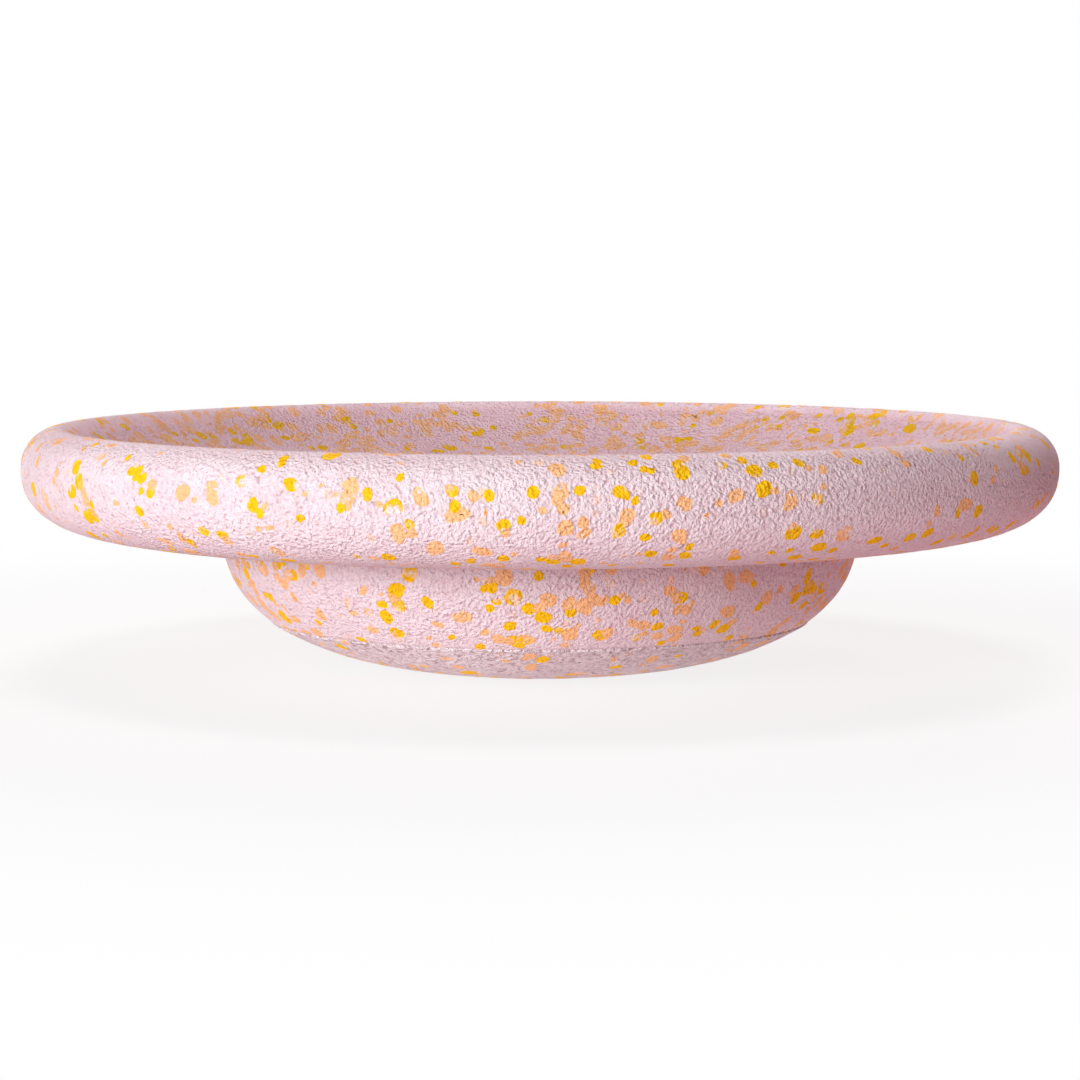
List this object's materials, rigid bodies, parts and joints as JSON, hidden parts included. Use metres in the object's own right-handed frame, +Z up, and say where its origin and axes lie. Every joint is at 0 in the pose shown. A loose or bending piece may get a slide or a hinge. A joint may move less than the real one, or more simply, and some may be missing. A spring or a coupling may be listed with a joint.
{
  "type": "round balance board",
  "caption": "Round foam balance board: a dished deck with a rolled rim, bonded to a narrower rounded base on which it rocks, tilts and spins.",
  "frame": {"origin": "centre of the flat foot, on the floor", "axes": "+Z up along the axis of the board; X and Y are alike, because the board is round"},
  "size_m": [0.38, 0.38, 0.09],
  "materials": {
    "speckled_foam": "matte pebbled foam skin, pink with yellow and apricot beads",
    "sole_foam": "matte foam skin with a coarser grain"
  },
  "bodies": {
    "root": {"deck": "speckled_foam", "rocker_base": "speckled_foam", "sole": "sole_foam"}
  },
  "joints": []
}
